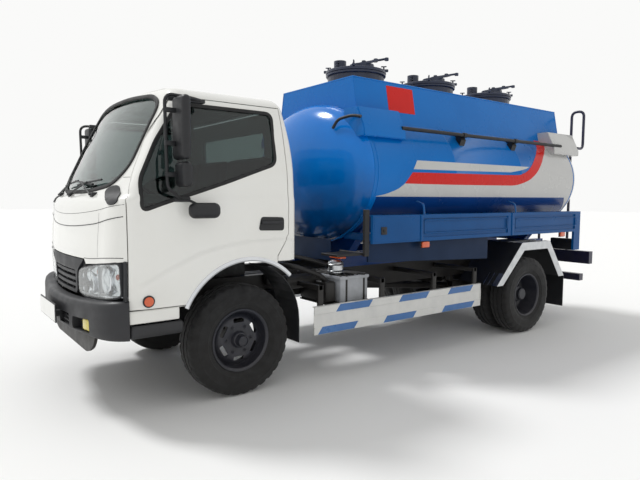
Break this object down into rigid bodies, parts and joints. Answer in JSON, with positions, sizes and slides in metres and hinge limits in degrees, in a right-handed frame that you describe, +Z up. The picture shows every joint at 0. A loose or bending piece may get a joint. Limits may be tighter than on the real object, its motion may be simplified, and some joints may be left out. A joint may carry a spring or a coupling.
{
  "type": "fuel tanker truck",
  "caption": "Two-axle cab-over tanker truck with a tilting cab, oval tank, hinged manhole lids in a spill box, side guards and a rear ladder.",
  "frame": {"origin": "on the ground under the middle of the truck, midway between its ends and sides", "axes": "+Z up, -Y towards the nose, +X towards the driver side, which is the left of the truck"},
  "size_m": [2.228, 5.91, 2.7794],
  "materials": {
    "cab_paint": "gloss",
    "tank_paint": "gloss",
    "tyre_rubber": "matt",
    "wheel_steel": "satin",
    "chassis_paint": "satin",
    "engine_iron": "rough",
    "guard_paint": "satin",
    "black_plastic": "matt",
    "glass": "clear",
    "lamp_lens": "clear",
    "seat_fabric": "woven",
    "hatch_paint": "satin",
    "aluminium": "satin",
    "exhaust_steel": "dull"
  },
  "bodies": {
    "chassis": {"battery_box": "black_plastic", "discharge_pipes": "aluminium", "engine_block": "engine_iron", "exhaust_silencer": "exhaust_steel", "fog_lamps": "lamp_lens", "frame_crossmembers": "chassis_paint", "frame_rails": "chassis_paint", "front_axle_beam": "chassis_paint", "front_bumper": "black_plastic", "front_mudguards": "black_plastic", "fuel_tank": "aluminium", "ladder": "chassis_paint", "leaf_springs": "chassis_paint", "manhole_collars": "hatch_paint", "propeller_shaft": "chassis_paint", "rear_axle_housing": "chassis_paint", "rear_lamps": "lamp_lens", "rear_mudguards": "black_plastic", "rear_underrun": "chassis_paint", "shoulder_boxes": "tank_paint", "shoulder_rails": "chassis_paint", "side_guards": "guard_paint", "side_panels": "tank_paint", "spill_box": "tank_paint", "tank_barrel": "tank_paint", "tank_heads": "tank_paint", "tank_saddles": "chassis_paint"},
    "cab": {"cab_front_panel": "cab_paint", "cab_roof": "cab_paint", "cab_sides": "cab_paint", "cab_rear_wall": "cab_paint", "cab_floor": "cab_paint", "cab_glass": "glass", "front_grille": "black_plastic", "headlamps": "lamp_lens", "dashboard": "black_plastic", "steering_column": "black_plastic", "seats": "seat_fabric"},
    "door_left": {"door_left": "cab_paint", "door_glass_left": "glass", "mirrors_left": "chassis_paint"},
    "door_right": {"door_right": "cab_paint", "door_glass_right": "glass", "mirrors_right": "chassis_paint"},
    "knuckle_left": {"knuckle_left": "chassis_paint"},
    "knuckle_right": {"knuckle_right": "chassis_paint"},
    "tie_rod": {"tie_rod": "chassis_paint"},
    "steering_wheel": {"steering_wheel": "black_plastic"},
    "front_wheel_left": {"front_rim_left": "wheel_steel", "front_tyre_left": "tyre_rubber"},
    "front_wheel_right": {"front_rim_right": "wheel_steel", "front_tyre_right": "tyre_rubber"},
    "rear_wheels_left": {"rear_rims_left": "wheel_steel", "rear_tyres_left": "tyre_rubber"},
    "rear_wheels_right": {"rear_rims_right": "wheel_steel", "rear_tyres_right": "tyre_rubber"},
    "lid_front": {"manhole_lid_front": "hatch_paint"},
    "lid_middle": {"manhole_lid_middle": "hatch_paint"},
    "lid_rear": {"manhole_lid_rear": "hatch_paint"}
  },
  "joints": [
    {"name": "cab_tilt", "type": "hinge", "parent": "chassis", "child": "cab", "pos_m": [0, -2.735, 0.812], "axis": [1, 0, 0], "range_deg": [0, 45]},
    {"name": "door_left_hinge", "type": "hinge", "parent": "cab", "child": "door_left", "pos_m": [0.912, -2.635, 1.2], "axis": [0, 0, -1], "range_deg": [0, 70]},
    {"name": "door_right_hinge", "type": "hinge", "parent": "cab", "child": "door_right", "pos_m": [-0.912, -2.635, 1.2], "axis": [0, 0, 1], "range_deg": [0, 70]},
    {"name": "steer_left", "type": "hinge", "parent": "chassis", "child": "knuckle_left", "pos_m": [0.635, -1.835, 0.402], "axis": [0, 0, 1], "range_deg": [-35, 35]},
    {"name": "steer_right", "type": "hinge", "parent": "chassis", "child": "knuckle_right", "pos_m": [-0.635, -1.835, 0.402], "axis": [0, 0, 1], "range_deg": [-35, 35]},
    {"name": "tie_rod_slide", "type": "slide", "parent": "chassis", "child": "tie_rod", "axis": [1, 0, 0], "range_m": [-0.1, 0.1]},
    {"name": "steering_wheel_turn", "type": "hinge", "parent": "cab", "child": "steering_wheel", "pos_m": [0.47528, -2.415, 1.44], "axis": [0, 0.5, 0.866], "range_deg": [-540, 540]},
    {"name": "front_wheel_left_spin", "type": "hinge", "parent": "knuckle_left", "child": "front_wheel_left", "pos_m": [0.7275, -1.835, 0.402], "axis": [1, 0, 0], "continuous": true},
    {"name": "front_wheel_right_spin", "type": "hinge", "parent": "knuckle_right", "child": "front_wheel_right", "pos_m": [-0.7275, -1.835, 0.402], "axis": [1, 0, 0], "continuous": true},
    {"name": "rear_wheels_left_spin", "type": "hinge", "parent": "chassis", "child": "rear_wheels_left", "pos_m": [0.736, 1.545, 0.402], "axis": [1, 0, 0], "continuous": true},
    {"name": "rear_wheels_right_spin", "type": "hinge", "parent": "chassis", "child": "rear_wheels_right", "pos_m": [-0.736, 1.545, 0.402], "axis": [1, 0, 0], "continuous": true},
    {"name": "lid_front_hinge", "type": "hinge", "parent": "chassis", "child": "lid_front", "pos_m": [-0.34, -0.08, 2.6503], "axis": [0, -1, 0], "range_deg": [0, 100]},
    {"name": "lid_middle_hinge", "type": "hinge", "parent": "chassis", "child": "lid_middle", "pos_m": [-0.34, 0.9675, 2.6503], "axis": [0, -1, 0], "range_deg": [0, 100]},
    {"name": "lid_rear_hinge", "type": "hinge", "parent": "chassis", "child": "lid_rear", "pos_m": [-0.34, 2.015, 2.6503], "axis": [0, -1, 0], "range_deg": [0, 100]}
  ],
  "couplings": [
    {"joint": "steer_right", "follows": "steer_left", "ratio": 1},
    {"joint": "tie_rod_slide", "follows": "steer_left", "m_per_rad": -0.1108},
    {"joint": "steering_wheel_turn", "follows": "steer_left", "ratio": 15}
  ]
}
